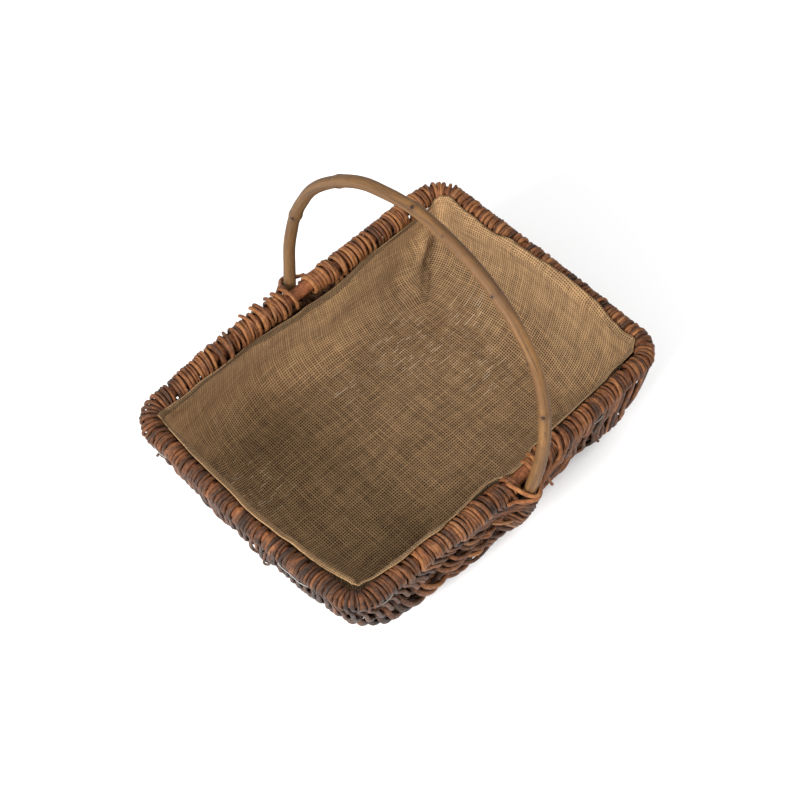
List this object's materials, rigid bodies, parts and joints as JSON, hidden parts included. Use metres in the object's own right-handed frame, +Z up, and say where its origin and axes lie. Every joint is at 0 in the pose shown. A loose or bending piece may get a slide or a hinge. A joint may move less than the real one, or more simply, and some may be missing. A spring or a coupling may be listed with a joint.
{
  "type": "wicker garden trug",
  "caption": "Low rectangular willow frame basket with a wrapped rim, a bent hoop handle across it and a hessian lining, for carrying garden produce and tools.",
  "frame": {"origin": "on the ground under the middle of the basket", "axes": "+Z up, +X along the long sides, +Y from the long side in front to the one behind; the handle leans a little towards +X"},
  "size_m": [0.4391, 0.3654, 0.3465],
  "materials": {
    "rim_rod": "willow rod in its bark, satin",
    "handle": "peeled rod, weathered to a grey tan, smooth and matt",
    "rib": "willow rod in its bark, matt",
    "wrap": "willow strands in their bark, satin, mid brown to orange brown",
    "weave": "willow strands in their bark, satin, dark grey brown to orange brown",
    "lashing": "willow strand, orange brown, satin",
    "lining": "plain-woven hessian, open weave, matt",
    "wire": "fine galvanised wire, dull"
  },
  "bodies": {
    "root": {"rim_rod": "rim_rod", "handle_hoop": "handle", "rib_left_1": "rib", "rib_left_2": "rib", "rib_left_3": "rib", "rib_left_4": "rib", "rib_right_1": "rib", "rib_right_2": "rib", "rib_right_3": "rib", "rib_right_4": "rib", "rim_wrap_near_right": "wrap", "rim_wrap_far_right": "wrap", "rim_wrap_far_left": "wrap", "rim_wrap_near_left": "wrap", "woven_body": "weave", "liner": "lining", "near_lashing_upper": "lashing", "near_lashing_lower": "lashing", "far_lashing_upper": "lashing", "far_lashing_lower": "lashing", "binding_wire_left": "wire", "binding_wire_right": "wire"}
  },
  "joints": []
}
